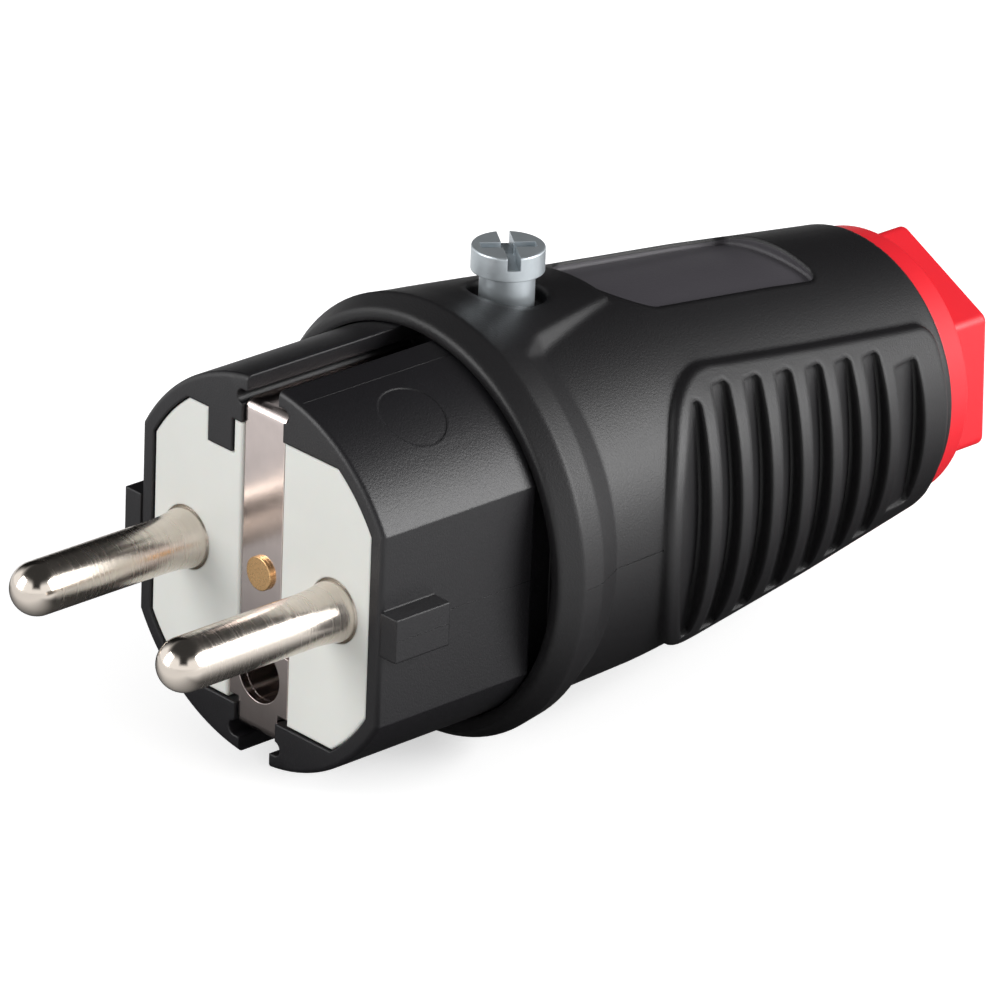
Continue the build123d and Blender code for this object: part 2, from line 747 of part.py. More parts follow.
with BuildPart() as grip_housing:
    with BuildSketch() as shell_outline:
        with BuildLine():
            Polyline(
                (0, y_collar),
                (lip_r, y_collar),
                (crest_r, y_crest),
                (collar_back_r, y_collar_back),
                (band_r, y_band),
            )
            FilletPolyline(*grip_outline, radius=grip_blend)
            Polyline((back_r, y_back), (0, y_back), (0, y_collar))
        make_face()
        fillet(shell_outline.vertices().filter_by_position(Axis.X, lip_r - press_gap, lip_r + press_gap), lip_edge)
        fillet(shell_outline.vertices().sort_by_distance((collar_back_r, y_collar_back))[0], soft_edge)
        fillet(shell_outline.vertices().sort_by_distance((band_r, y_band))[0], soft_edge)
        fillet(shell_outline.vertices().sort_by_distance((back_r, y_back))[0], soft_edge)
    revolve(axis=Axis.Y)
    add(boss.part)
    add(pads.part)
    add(scoops.part, mode=Mode.SUBTRACT)
    add(panel.part, mode=Mode.SUBTRACT)
    with BuildSketch():
        with BuildLine():
            Polyline(
                (0, y_collar),
                (collar_bore_r, y_collar),
                (collar_bore_r, y_seat),
                (cavity_r, y_seat),
                (cavity_r, y_inner_step),
                (inner_step_r, y_inner_step),
                (grip_radius(y_bulkhead) - grip_wall, y_bulkhead),
                (cable_d / 2 + thread_gap, y_bulkhead),
                (cable_d / 2 + thread_gap, y_seal),
                (thread_bore_r, y_seal),
                (thread_bore_r, y_back),
                (0, y_back),
                close=True,
            )
        make_face()
    revolve(axis=Axis.Y, mode=Mode.SUBTRACT)
    with BuildSketch(Plane.XY.offset(tower_base)):
        with Locations((0, y_screw)):
            Circle(tower_d / 2)
    extrude(amount=tower_length)
    with BuildSketch(Plane.XY.offset(seat_z)):
        with Locations((0, y_screw)):
            Circle(screw_head_d / 2 + screw_gap)
    extrude(amount=boss_height, mode=Mode.SUBTRACT)
    with BuildSketch(Plane.XY.offset(tower_base)):
        with Locations((0, y_screw)):
            Circle(screw_neck_d / 2 + slide_gap)
    extrude(amount=boss_height, mode=Mode.SUBTRACT)

# Housing screw, not driven home, and the square nut in the tongue
head_base = seat_z + screw_proud
with BuildPart() as housing_screw:
    with BuildSketch(Plane.XY.offset(head_base)):
        with Locations((0, y_screw)):
            Circle(screw_head_d / 2)
    extrude(amount=screw_head_length)
    fillet(housing_screw.edges().sort_by(Axis.Z)[-1], radius=soft_edge / 2)
    with BuildSketch(Plane.XY.offset(head_base)):
        with Locations((0, y_screw)):
            Circle(screw_neck_d / 2)
    extrude(amount=-screw_neck_length)
    with BuildSketch(Plane.XY.offset(head_base)):
        with Locations((0, y_screw)):
            Circle(screw_thread_d / 2)
    extrude(amount=-screw_length)
    with BuildSketch(Plane.XY.offset(head_base + screw_head_length)):
        with Locations((0, y_screw)):
            Rectangle(screw_head_d, screw_slot, rotation=screw_turn)
            Rectangle(screw_slot, screw_neck_d, rotation=screw_turn)
    extrude(amount=-screw_slot_depth, mode=Mode.SUBTRACT)

with BuildPart() as housing_nut:
    with BuildSketch(Plane.XY.offset(nut_base)):
        with Locations((0, y_screw)):
            Rectangle(nut_width, nut_width)
            Circle(screw_thread_d / 2 + press_gap, mode=Mode.SUBTRACT)
    extrude(amount=nut_thickness)

# Gland: rubber sleeve, thrust ring and the nut that presses them
with BuildPart() as gland_seal:
    with BuildSketch(across(y_seal)):
        Circle(thread_bore_r - press_gap)
        Circle(seal_bore_d / 2, mode=Mode.SUBTRACT)
    extrude(amount=-seal_length)

with BuildPart() as thrust_ring:
    with BuildSketch(across(y_thrust)):
        Circle(thread_r)
        Circle(cable_d / 2 + 2 * thread_gap, mode=Mode.SUBTRACT)
    extrude(amount=-thrust_thickness)

nut_flange_r = back_r - nut_step
y_hex = y_nut + nut_flange_length
with BuildPart() as gland_nut:
    with BuildSketch():
        with BuildLine():
            Polyline(
                (cable_d / 2, y_spigot),
                (thread_r, y_spigot),
                (thread_r, y_nut),
                (nut_flange_r, y_nut),
                (nut_flange_r - nut_flange_taper, y_hex),
                (cable_d / 2, y_hex),
                close=True,
            )
        make_face()
    revolve(axis=Axis.Y)
    with BuildSketch(across(y_hex)) as hex_outline:
        RegularPolygon(hex_flats / 2, 6, major_radius=False, rotation=30 + hex_turn)
        fillet(hex_outline.vertices(), radius=hex_corner)
        Circle(cable_d / 2, mode=Mode.SUBTRACT)
    extrude(amount=-hex_length)
    fillet(gland_nut.faces().sort_by(Axis.Y)[-1].edges(), radius=nut_edge)

pieces = {
    "grip_housing": grip_housing,
    "front_shell": front_shell,
    "contact_carrier": contact_carrier,
    "pin_left": pin_left,
    "pin_right": pin_right,
    "earth_strip": earth_strip,
    "earth_rivet": earth_rivet,
    "earth_socket": earth_socket,
    "earth_terminal": earth_terminal,
    "terminal_screw_left": terminal_screw_left,
    "terminal_screw_right": terminal_screw_right,
    "terminal_screw_earth": terminal_screw_earth,
    "wire_guard_left": wire_guard_left,
    "wire_guard_right": wire_guard_right,
    "wire_guard_earth": wire_guard_earth,
    "housing_screw": housing_screw,
    "housing_nut": housing_nut,
    "gland_seal": gland_seal,
    "thrust_ring": thrust_ring,
    "gland_nut": gland_nut,
}
for name, piece in pieces.items():
    piece.part.label = name
    export_step(piece.part, f"parts/{name}.step")
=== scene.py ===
"""Looks of a rewirable earthed mains plug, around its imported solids, in metres and in the same frame."""

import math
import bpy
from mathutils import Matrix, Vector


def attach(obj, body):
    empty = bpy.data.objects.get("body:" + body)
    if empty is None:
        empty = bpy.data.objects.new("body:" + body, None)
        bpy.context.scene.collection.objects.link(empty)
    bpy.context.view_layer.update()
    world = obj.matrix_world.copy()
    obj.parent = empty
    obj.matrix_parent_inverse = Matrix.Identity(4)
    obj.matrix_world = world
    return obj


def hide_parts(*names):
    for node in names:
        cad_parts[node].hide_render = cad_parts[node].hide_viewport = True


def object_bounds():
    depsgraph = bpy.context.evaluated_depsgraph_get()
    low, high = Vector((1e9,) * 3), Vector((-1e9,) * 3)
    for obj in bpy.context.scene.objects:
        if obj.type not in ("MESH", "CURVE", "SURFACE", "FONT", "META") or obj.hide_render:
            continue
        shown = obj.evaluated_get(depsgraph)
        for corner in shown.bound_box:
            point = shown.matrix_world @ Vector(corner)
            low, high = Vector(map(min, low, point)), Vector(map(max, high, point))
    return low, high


bl_info = {
    "name": "Earthed Mains Plug",
    "version": (1, 0, 0),
    "blender": (4, 5, 0),
    "location": "3D View > Sidebar > Plug",
    "description": "Gives the plug its moulded, plated and rubber finishes and sets it on a white stage",
    "category": "Object",
}

import bmesh
import bpy
from mathutils import Matrix, Vector

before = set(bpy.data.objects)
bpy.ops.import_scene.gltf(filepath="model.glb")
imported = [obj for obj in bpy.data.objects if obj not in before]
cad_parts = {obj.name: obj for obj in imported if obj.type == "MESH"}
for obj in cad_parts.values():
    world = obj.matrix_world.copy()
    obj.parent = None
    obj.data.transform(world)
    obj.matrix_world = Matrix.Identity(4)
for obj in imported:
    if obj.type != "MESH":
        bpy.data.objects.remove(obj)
CAD_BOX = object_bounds()
MM = 0.001

# Places on the solids, in mm: the panel's recess, a cone just under the grip's skin there, and the screw boss
PANEL_BOX = ((-6.4, 35.9, 0), (6.4, 60.7, 20))
PANEL_CONE_FALL, PANEL_CONE_RADIUS = 0.122, 22.09
BOSS_BOX = ((-13, 21, 10), (13, 37, 21))


def linear(code):
    """Linear colour, with alpha, of an sRGB hex code."""
    parts = [int(code[i : i + 2], 16) / 255 for i in (1, 3, 5)]
    return tuple(c / 12.92 if c <= 0.04045 else ((c + 0.055) / 1.055) ** 2.4 for c in parts) + (1.0,)


def per_metre(size_mm):
    """Texture scale at which one feature of the pattern is size_mm wide."""
    return 1 / (size_mm * MM)


def add_node(tree, kind, inputs=None, **settings):
    """Add a node, set its properties, and set or link each of its inputs."""
    node = tree.nodes.new(kind)
    for name, value in settings.items():
        setattr(node, name, value)
    for name, value in (inputs or {}).items():
        if isinstance(value, bpy.types.NodeSocket):
            tree.links.new(value, node.inputs[name])
        else:
            node.inputs[name].default_value = value
    return node


def start_material(name, **constants):
    """New material with its tree, its shader with the given constants, and the object's own coordinates."""
    material = bpy.data.materials.new(name)
    material.use_nodes = True
    tree = material.node_tree
    shader = tree.nodes["Principled BSDF"]
    for socket, value in constants.items():
        shader.inputs[socket.replace("_", " ")].default_value = value
    place = add_node(tree, "ShaderNodeTexCoord").outputs["Object"]
    return material, tree, shader, place


def finish_shader(tree, shader, colour, brightness, dullness, relief, soft_edge, strength, depth_mm, samples=6):
    """Link a shader's colour, its roughness, and a normal with soft edges and a fine relief."""
    base = add_node(tree, "ShaderNodeVectorMath", {0: colour[:3], "Scale": brightness}, operation="SCALE")
    edge = add_node(tree, "ShaderNodeBevel", {"Radius": soft_edge}, samples=samples)
    bump = add_node(
        tree,
        "ShaderNodeBump",
        {"Height": relief, "Normal": edge.outputs["Normal"], "Strength": strength, "Distance": depth_mm * MM},
    )
    tree.links.new(base.outputs["Vector"], shader.inputs["Base Color"])
    tree.links.new(dullness, shader.inputs["Roughness"])
    tree.links.new(bump.outputs["Normal"], shader.inputs["Normal"])


def dress(names, material):
    """Give CAD nodes a material."""
    for name in names:
        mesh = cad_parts[name].data
        mesh.materials.clear()
        mesh.materials.append(material)


class PlugColours(bpy.types.PropertyGroup):
    """Colours of the plug's finishes."""

    grip: bpy.props.FloatVectorProperty(
        name="Grip", description="Black of the grip", subtype="COLOR", size=4, default=linear("#151416")
    )
    nose: bpy.props.FloatVectorProperty(
        name="Nose", description="Black of the nose", subtype="COLOR", size=4, default=linear("#161518")
    )
    carrier: bpy.props.FloatVectorProperty(
        name="Carrier", description="Off-white of the face",
        subtype="COLOR", size=4, default=linear("#e2e3de"),
    )
    nickel: bpy.props.FloatVectorProperty(
        name="Nickel", description="Nickel of the pins", subtype="COLOR", size=4, default=linear("#e9dfd4")
    )
    strip: bpy.props.FloatVectorProperty(
        name="Strip", description="Nickel of the earth strip",
        subtype="COLOR", size=4, default=linear("#e6d9d5"),
    )
    brass: bpy.props.FloatVectorProperty(
        name="Brass", description="Brass of the rivet", subtype="COLOR", size=4, default=linear("#f2c48c")
    )
    zinc: bpy.props.FloatVectorProperty(
        name="Zinc", description="Zinc plate of the screws",
        subtype="COLOR", size=4, default=linear("#cdd5da"),
    )
    nut: bpy.props.FloatVectorProperty(
        name="Gland nut", description="Red of the gland nut",
        subtype="COLOR", size=4, default=linear("#e81e2c"),
    )
    rubber: bpy.props.FloatVectorProperty(
        name="Rubber", description="Black of the gland seal",
        subtype="COLOR", size=4, default=linear("#262626"),
    )
    ring: bpy.props.FloatVectorProperty(
        name="Thrust ring", description="Grey of the thrust ring",
        subtype="COLOR", size=4, default=linear("#b9bbbd"),
    )


class PlugSizes(bpy.types.PropertyGroup):
    """Sizes of the surface detail."""

    grain: bpy.props.FloatProperty(
        name="Mould grain", description="Width of a grain on the grip", unit="LENGTH", default=0.2 * MM
    )
    soft_edge: bpy.props.FloatProperty(
        name="Soft edge", description="Radius of moulded edges", unit="LENGTH", default=0.25 * MM
    )
    grip_edge: bpy.props.FloatProperty(
        name="Grip edge", description="Radius of the grip's edges", unit="LENGTH", default=0.65 * MM
    )


class PlugStage(bpy.types.PropertyGroup):
    """Camera of the stage."""

    azimuth: bpy.props.FloatProperty(
        name="Azimuth",
        description="Turn of the camera from the front",
        subtype="ANGLE",
        default=math.radians(46.09),
    )
    elevation: bpy.props.FloatProperty(
        name="Elevation",
        description="Height of the camera as an angle",
        subtype="ANGLE",
        default=math.radians(24.31),
    )
    roll: bpy.props.FloatProperty(
        name="Roll", description="Roll of the camera", subtype="ANGLE", default=math.radians(2.33)
    )
    distance: bpy.props.FloatProperty(
        name="Distance", description="Distance of the camera from its target", unit="LENGTH", default=0.683
    )
    depth: bpy.props.FloatProperty(
        name="Target",
        description="Place of the target behind the pin face",
        unit="LENGTH",
        default=27.54 * MM,
    )
    lens: bpy.props.FloatProperty(name="Lens", description="Focal length in mm", unit="CAMERA", default=281.09)
    shift: bpy.props.FloatVectorProperty(
        name="Shift",
        description="Shift of the lens, as a share of the image",
        size=2,
        default=(0.0053, -0.0088),
    )


def within(tree, place, corners):
    """Socket that is 1 between two corners, in mm, and 0 outside them."""
    spot = add_node(tree, "ShaderNodeSeparateXYZ", {"Vector": place})
    mask = 1.0
    for axis, low, high in zip("XYZ", *corners):
        inside = add_node(
            tree,
            "ShaderNodeMath",
            {0: spot.outputs[axis], 1: (low + high) / 2 * MM, 2: (high - low) / 2 * MM},
            operation="COMPARE",
        )
        both = add_node(tree, "ShaderNodeMath", {0: inside.outputs["Value"], 1: mask}, operation="MULTIPLY")
        mask = both.outputs["Value"]
    return mask


def below(tree, place, fall, limit):
    """Socket that is 1 inside a cone about Y, whose radius is limit mm at the face and falls by fall per mm."""
    flat = add_node(tree, "ShaderNodeVectorMath", {0: place, 1: (1, 0, 1)}, operation="MULTIPLY")
    radius = add_node(tree, "ShaderNodeVectorMath", {0: flat.outputs["Vector"]}, operation="LENGTH")
    spot = add_node(tree, "ShaderNodeSeparateXYZ", {"Vector": place})
    height = add_node(
        tree,
        "ShaderNodeMath",
        {0: spot.outputs["Y"], 1: fall, 2: radius.outputs["Value"]},
        operation="MULTIPLY_ADD",
    )
    low = add_node(tree, "ShaderNodeMath", {0: height.outputs["Value"], 1: limit * MM}, operation="LESS_THAN")
    return low.outputs["Value"]


def moulded_black(name, colour, grain_mm, roughness, soft_edge, zones=False):
    """Glass-filled polyamide, spark-eroded mould: matt black, with a fine grain that breaks up highlights.

    A real grain is about 0.05 mm wide, too fine to show, and is drawn coarser. With zones, the panel's floor
    has painted light, a lighter colour where it faces up to the light, and is glossier, and the screw boss has
    wider edges.
    """
    material, tree, shader, place = start_material(name, IOR=1.52)
    grain = add_node(
        tree,
        "ShaderNodeTexNoise",
        {"Vector": place, "Scale": per_metre(grain_mm), "Detail": 3.0, "Roughness": 0.6},
    )
    flow = add_node(tree, "ShaderNodeTexNoise", {"Vector": place, "Scale": per_metre(6.0), "Detail": 2.0})
    tint = add_node(tree, "ShaderNodeMapRange", {"Value": flow.outputs["Fac"], "To Min": 0.9, "To Max": 1.12})
    rough = add_node(
        tree,
        "ShaderNodeMapRange",
        {"Value": grain.outputs["Fac"], "To Min": roughness - 0.04, "To Max": roughness + 0.05},
    )
    brightness, dullness = tint.outputs["Result"], rough.outputs["Result"]
    if zones:
        panel = within(tree, place, PANEL_BOX)
        sunk = below(tree, place, PANEL_CONE_FALL, PANEL_CONE_RADIUS)
        floor = add_node(tree, "ShaderNodeMath", {0: panel, 1: sunk}, operation="MULTIPLY").outputs["Value"]
        # painted light: the panel's floor colour is made eight times as bright, where the floor faces up to the
        # light
        painted_light_gain, less_rough = 7.0, -0.04
        painted_light_floor = add_node(
            tree, "ShaderNodeMath", {0: floor, 1: painted_light_gain, 2: brightness}, operation="MULTIPLY_ADD"
        )
        glossier = add_node(
            tree, "ShaderNodeMath", {0: floor, 1: less_rough, 2: dullness}, operation="MULTIPLY_ADD"
        )
        brightness, dullness = painted_light_floor.outputs["Value"], glossier.outputs["Value"]
        boss = within(tree, place, BOSS_BOX)
        wide = add_node(
            tree, "ShaderNodeMapRange", {"Value": boss, "To Min": soft_edge, "To Max": 1.5 * soft_edge}
        )
        soft_edge = wide.outputs["Result"]
    finish_shader(tree, shader, colour, brightness, dullness, grain.outputs["Fac"], soft_edge, 0.6, 0.04)
    return material


def moulded_smooth(name, colour, roughness, soft_edge, subsurface=0.0):
    """Thermoplastic from a polished mould: even colour, faint flow marks, soft gloss.

    The polish leaves marks finer than 0.1 mm, too fine to show, and they are drawn at 0.3 mm.
    """
    material, tree, shader, place = start_material(
        name, IOR=1.5, Subsurface_Weight=subsurface, Subsurface_Scale=0.4 * MM
    )
    flow = add_node(tree, "ShaderNodeTexNoise", {"Vector": place, "Scale": per_metre(5.0), "Detail": 3.0})
    fine = add_node(tree, "ShaderNodeTexNoise", {"Vector": place, "Scale": per_metre(0.3), "Detail": 2.0})
    tint = add_node(
        tree, "ShaderNodeMapRange", {"Value": flow.outputs["Fac"], "To Min": 0.96, "To Max": 1.03}
    )
    rough = add_node(
        tree,
        "ShaderNodeMapRange",
        {"Value": fine.outputs["Fac"], "To Min": roughness - 0.05, "To Max": roughness + 0.05},
    )
    brightness, dullness = tint.outputs["Result"], rough.outputs["Result"]
    finish_shader(tree, shader, colour, brightness, dullness, fine.outputs["Fac"], soft_edge, 0.12, 0.02)
    return material


def turned_nickel(name, colour):
    """Nickel plate on turned brass: rings of tool marks round the shank, bright polish on the tip.

    The real rings are about 0.1 mm apart, too fine to show, and are drawn at 0.25 mm.
    """
    material, tree, shader, place = start_material(name, Metallic=1.0)
    along = add_node(tree, "ShaderNodeSeparateXYZ", {"Vector": place})
    stretch = [per_metre(size) for size in (6.0, 0.25, 6.0)]
    drawn_out = add_node(tree, "ShaderNodeMapping", {"Vector": place, "Scale": stretch}).outputs["Vector"]
    rings = add_node(tree, "ShaderNodeTexNoise", {"Vector": drawn_out, "Scale": 1.0, "Detail": 3.0})
    polish_end, marks_start = -16.9 * MM, -16.2 * MM
    shank = add_node(
        tree,
        "ShaderNodeMapRange",
        {"Value": along.outputs["Y"], "From Min": polish_end, "From Max": marks_start},
    )
    marks = add_node(
        tree,
        "ShaderNodeMath",
        {0: rings.outputs["Fac"], 1: shank.outputs["Result"]},
        operation="MULTIPLY",
    )
    rough = add_node(
        tree,
        "ShaderNodeMapRange",
        {"Value": marks.outputs["Value"], "From Max": 0.7, "To Min": 0.12, "To Max": 0.3},
    )
    worn = add_node(
        tree, "ShaderNodeMapRange", {"Value": marks.outputs["Value"], "To Min": 1.0, "To Max": 0.88}
    )
    brightness, dullness, relief = worn.outputs["Result"], rough.outputs["Result"], marks.outputs["Value"]
    finish_shader(tree, shader, colour, brightness, dullness, relief, 0.5 * MM, 0.4, 0.02, samples=8)
    return material


def drawn_metal(name, colour, line_mm, low, high, soft_edge, metallic=1.0):
    """Plated strip or wire stock: fine lines along the way it was drawn, satin gloss.

    Real lines are under 0.05 mm apart, too fine to show, and are drawn as line_mm says, along each axis.
    Passivated zinc has a thin chalky film over the metal, so that it is less than fully metallic.
    """
    material, tree, shader, place = start_material(name, Metallic=metallic)
    stretch = [per_metre(size) for size in line_mm]
    drawn_out = add_node(tree, "ShaderNodeMapping", {"Vector": place, "Scale": stretch}).outputs["Vector"]
    lines = add_node(tree, "ShaderNodeTexNoise", {"Vector": drawn_out, "Scale": 1.0, "Detail": 3.0})
    cloud = add_node(tree, "ShaderNodeTexNoise", {"Vector": place, "Scale": per_metre(1.2), "Detail": 3.0})
    tint = add_node(
        tree, "ShaderNodeMapRange", {"Value": cloud.outputs["Fac"], "To Min": 0.9, "To Max": 1.06}
    )
    rough = add_node(
        tree, "ShaderNodeMapRange", {"Value": lines.outputs["Fac"], "To Min": low, "To Max": high}
    )
    brightness, dullness = tint.outputs["Result"], rough.outputs["Result"]
    finish_shader(tree, shader, colour, brightness, dullness, lines.outputs["Fac"], soft_edge, 0.2, 0.01)
    return material


def welded(name):
    """Mesh of a CAD node as one closed surface, for a piece that is made from it."""
    shape = bmesh.new()
    shape.from_mesh(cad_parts[name].data)
    bmesh.ops.remove_doubles(shape, verts=shape.verts, dist=0.001 * MM)
    return shape


def stand_in(name, mesh, material, node, body="plug_body"):
    """Object with a mesh of its own that stands for a CAD node, smooth but for its sharp edges."""
    for attribute in [a for a in mesh.attributes if a.name == "custom_normal"]:
        mesh.attributes.remove(attribute)
    mesh.shade_smooth()
    mesh.set_sharp_from_angle(angle=math.radians(28))
    mesh.materials.clear()
    mesh.materials.append(material)
    piece = bpy.data.objects.new(name, mesh)
    bpy.context.scene.collection.objects.link(piece)
    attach(piece, body)
    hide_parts(node)


def cut_out(node, shape):
    """Mesh of a CAD node with a closed bmesh taken out of it."""
    solid = welded(node)
    pieces = []
    for name, form in (("tool", shape), ("body", solid)):
        mesh = bpy.data.meshes.new(name)
        form.to_mesh(mesh)
        form.free()
        pieces.append(bpy.data.objects.new(name, mesh))
        bpy.context.scene.collection.objects.link(pieces[-1])
    tool, body = pieces
    cut = body.modifiers.new("cut", "BOOLEAN")
    cut.operation, cut.solver, cut.object = "DIFFERENCE", "EXACT", tool
    mesh = bpy.data.meshes.new_from_object(body.evaluated_get(bpy.context.evaluated_depsgraph_get()))
    for each in pieces:
        bpy.data.objects.remove(each)
    return mesh


def gapped_nose(material):
    """The nose with a deep gap behind each flat, where the flat ends short of the flange in the collar."""
    gap_x, gap_y, gap_size = 16.45, 18.97, (4.0, 3.1, 22.0, 1.0)
    gaps = bmesh.new()
    for way in (-1, 1):
        place = Matrix.Translation(Vector((way * gap_x, gap_y, 0)) * MM)
        bmesh.ops.create_cube(gaps, size=MM, matrix=place @ Matrix.Diagonal(gap_size))
    stand_in("nose_gapped", cut_out("front_shell", gaps), material, "front_shell")


def threaded_nut(material):
    """The gland nut with a right-hand thread groove of 2 mm pitch round its spigot, as the joint moves it."""
    pitch, crest, depth, steps = 2.0, 11.3, 0.9, 48
    mouth, root, over = 0.75, 0.3, 0.2
    run_out, rise = 0.5, 1.3
    start, end = 60.4, 69.4
    turns = (end - start) / pitch
    profile = ((crest + over, mouth), (crest - depth, root), (crest - depth, -root), (crest + over, -mouth))
    groove = bmesh.new()
    rows = []
    for step in range(int(turns * steps) + 1):
        turn = step / steps
        angle = 2 * math.pi * turn
        lift = depth * max(0.0, 1.0 - (turns - turn) / run_out) * rise
        row = []
        for radius, across in profile:
            out = radius + lift
            corner = Vector((out * math.sin(angle), start + pitch * turn + across, out * math.cos(angle)))
            row.append(groove.verts.new(corner * MM))
        rows.append(row)
    for row, after in zip(rows, rows[1:]):
        for side in range(4):
            near, far = side, (side + 1) % 4
            groove.faces.new((row[near], row[far], after[far], after[near]))
    groove.faces.new(rows[0])
    groove.faces.new(list(reversed(rows[-1])))
    bmesh.ops.recalc_face_normals(groove, faces=groove.faces)
    stand_in("nut_threaded", cut_out("gland_nut", groove), material, "gland_nut", "gland_turner")


def turned_pin(name, x, material):
    """Pin with the even curves of a lathe: a low shoulder in the face, a long flare, a round tip."""
    shape = welded(name)
    everything = shape.verts[:] + shape.edges[:] + shape.faces[:]
    bmesh.ops.bisect_plane(shape, geom=everything, plane_co=(0, MM, 0), plane_no=(0, 1, 0), clear_inner=True)
    shank_r, flare_rise, root_r, shoulder_r = 2.4, 0.3, 2.7, 2.88
    root_y, flare_length, round_y, tip_y = -0.3, 3.0, -16.6, -19.0
    flare_steps, tip_steps, count = 12, 16, 96
    outline = [(shoulder_r, 1.0), (shoulder_r, 0.25), (root_r, 0.22), (root_r, root_y)]
    for share in [step / flare_steps for step in range(1, flare_steps + 1)]:
        outline.append((shank_r + flare_rise * (1 - share) ** 2, root_y - flare_length * share))
    for turn in [math.radians(90 * step / tip_steps) for step in range(tip_steps)]:
        outline.append((shank_r * math.cos(turn), round_y - shank_r * math.sin(turn)))
    angles = [2 * math.pi * step / count for step in range(count)]
    rings = []
    for radius, y in outline:
        places = [Vector((x + radius * math.cos(angle), y, radius * math.sin(angle))) for angle in angles]
        rings.append([shape.verts.new(place * MM) for place in places])
    tip = shape.verts.new(Vector((x, tip_y, 0)) * MM)
    for ring, after in zip(rings, rings[1:]):
        for step in range(count):
            beside = (step + 1) % count
            shape.faces.new((ring[step], ring[beside], after[beside], after[step]))
    for step in range(count):
        shape.faces.new((rings[-1][step], rings[-1][(step + 1) % count], tip))
    bmesh.ops.recalc_face_normals(shape, faces=shape.faces)
    mesh = bpy.data.meshes.new(f"{name}_turned")
    shape.to_mesh(mesh)
    shape.free()
    stand_in(f"{name}_turned", mesh, material, name)


def mould_seam(name, stations, material):
    """Thin ridge where two parts of a mould met, along places on the surface, each with its way out, in mm.

    A real seam is lower, too fine to show, and is drawn as high as it needs to show.
    """
    half_width, height, sunk = 0.09, 0.035, 0.04
    along = (Vector(stations[-1][0]) - Vector(stations[0][0])).normalized()
    corners = []
    for place, outward in stations:
        place, outward = Vector(place), Vector(outward).normalized()
        side = outward.cross(along).normalized()
        corners += [
            (place - half_width * side - sunk * outward) * MM,
            (place + height * outward) * MM,
            (place + half_width * side - sunk * outward) * MM,
        ]
    faces = [(0, 1, 2), tuple(range(len(corners) - 1, len(corners) - 4, -1))]
    for start in range(0, len(corners) - 3, 3):
        for step in range(3):
            after = (step + 1) % 3
            faces.append((start + after, start + step, start + 3 + step, start + 3 + after))
    mesh = bpy.data.meshes.new(name)
    mesh.from_pydata(corners, [], faces)
    mesh.materials.append(material)
    ridge = bpy.data.objects.new(name, mesh)
    bpy.context.scene.collection.objects.link(ridge)
    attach(ridge, "plug_body")


class PLUG_OT_mouldings(bpy.types.Operator):
    """Finish the grip and the nose"""

    bl_idname = "plug.mouldings"
    bl_label = "Mouldings"

    def execute(self, context):
        colours, sizes = context.scene.plug_colours, context.scene.plug_sizes
        grip = moulded_black(
            "polyamide_grip_eroded", tuple(colours.grip), sizes.grain / MM, 0.46, sizes.grip_edge, zones=True
        )
        nose = moulded_black(
            "polyamide_nose_eroded", tuple(colours.nose), sizes.grain / MM, 0.42, sizes.soft_edge
        )
        dress(["grip_housing"], grip)
        gapped_nose(nose)
        collar_line = ((20.0, 19.7), (19.7, 21.9), (18.35, 24.8), (18.2, 30.6))
        for side, way in (("left", -1), ("right", 1)):
            flat = [((way * 15.45, y, 0), (way, 0, 0)) for y in (6.1, 17.4)]
            rib = [((way * 17.45, y, 0), (way, 0, 0)) for y in (0.1, 6.0)]
            shell = [((way * x, y, 0), (way, 0, 0)) for x, y in collar_line]
            mould_seam(f"nose_seam_{side}", flat, nose)
            mould_seam(f"rib_seam_{side}", rib, nose)
            mould_seam(f"grip_seam_{side}", shell, grip)
        line = [((4.4, y, 17.248), (4.4, 0, 17.248)) for y in (0.6, 17.4)]
        mould_seam("nose_seam_top", line, nose)
        return {"FINISHED"}


class PLUG_OT_carrier(bpy.types.Operator):
    """Finish the off-white contact carrier"""

    bl_idname = "plug.carrier"
    bl_label = "Carrier"

    def execute(self, context):
        colours, sizes = context.scene.plug_colours, context.scene.plug_sizes
        white = moulded_smooth(
            "polyester_carrier_moulded", tuple(colours.carrier), 0.42, sizes.soft_edge, subsurface=0.08
        )
        dress(["contact_carrier"], white)
        return {"FINISHED"}


class PLUG_OT_contacts(bpy.types.Operator):
    """Finish the pins, the earth strip, its rivet and what lies behind the face"""

    bl_idname = "plug.contacts"
    bl_label = "Contacts"

    def execute(self, context):
        colours = context.scene.plug_colours
        pins = turned_nickel("nickel_pin_turned", tuple(colours.nickel))
        turned_pin("pin_left", -9.5, pins)
        turned_pin("pin_right", 9.5, pins)
        dress(["earth_terminal"], pins)
        strip = drawn_metal(
            "nickel_strip_rolled", tuple(colours.strip), (0.11, 1.1, 5.5), 0.12, 0.24, 0.1 * MM
        )
        dress(["earth_strip", "earth_socket"], strip)
        rivet = drawn_metal(
            "brass_rivet_turned", tuple(colours.brass), (0.33, 1.7, 0.33), 0.2, 0.36, 0.1 * MM
        )
        dress(["earth_rivet"], rivet)
        return {"FINISHED"}


class PLUG_OT_fasteners(bpy.types.Operator):
    """Finish the screws, the square nut and the wire guards"""

    bl_idname = "plug.fasteners"
    bl_label = "Fasteners"

    def execute(self, context):
        colours = context.scene.plug_colours
        colour = tuple(colours.zinc)
        zinc = drawn_metal(
            "zinc_screw_plated", colour, (1.1, 1.1, 0.42), 0.22, 0.44, 0.12 * MM, metallic=0.72
        )
        steel = drawn_metal("steel_guard_rolled", colour, (1.1, 5.0, 1.1), 0.2, 0.4, 0.05 * MM)
        screws = [f"terminal_screw_{side}" for side in ("left", "right", "earth")]
        guards = [f"wire_guard_{side}" for side in ("left", "right", "earth")]
        dress(["housing_screw", "housing_nut"] + screws, zinc)
        dress(guards, steel)
        return {"FINISHED"}


